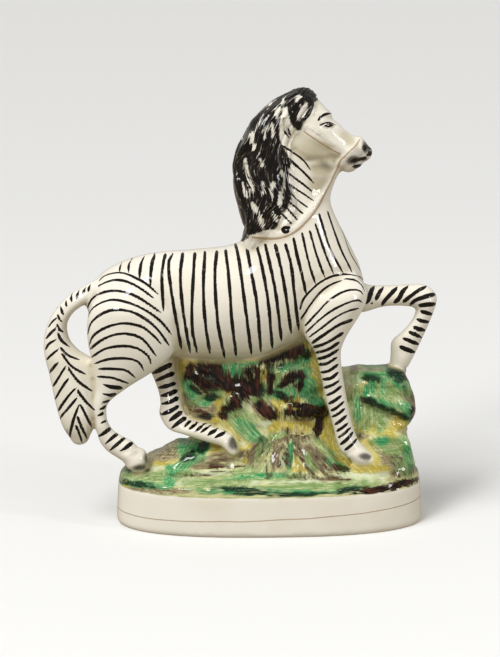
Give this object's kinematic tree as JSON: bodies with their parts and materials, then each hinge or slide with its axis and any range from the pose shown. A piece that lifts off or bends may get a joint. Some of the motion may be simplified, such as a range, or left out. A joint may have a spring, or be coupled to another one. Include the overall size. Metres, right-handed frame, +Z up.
{
  "type": "zebra figurine",
  "caption": "Pottery zebra prancing over rocks and stump roots on an oval plinth, hand-painted and glazed in one piece.",
  "frame": {"origin": "centre of the plinth's underside", "axes": "+Z up, +X the way the zebra faces, and its near side faces -Y"},
  "size_m": [0.1951, 0.0719, 0.2171],
  "materials": {
    "glazed_earthenware": "cream lead glaze over white earthenware, with hand-painted stripes, turf colours and gilt lines"
  },
  "bodies": {
    "root": {"zebra_figurine": "glazed_earthenware"}
  },
  "joints": []
}
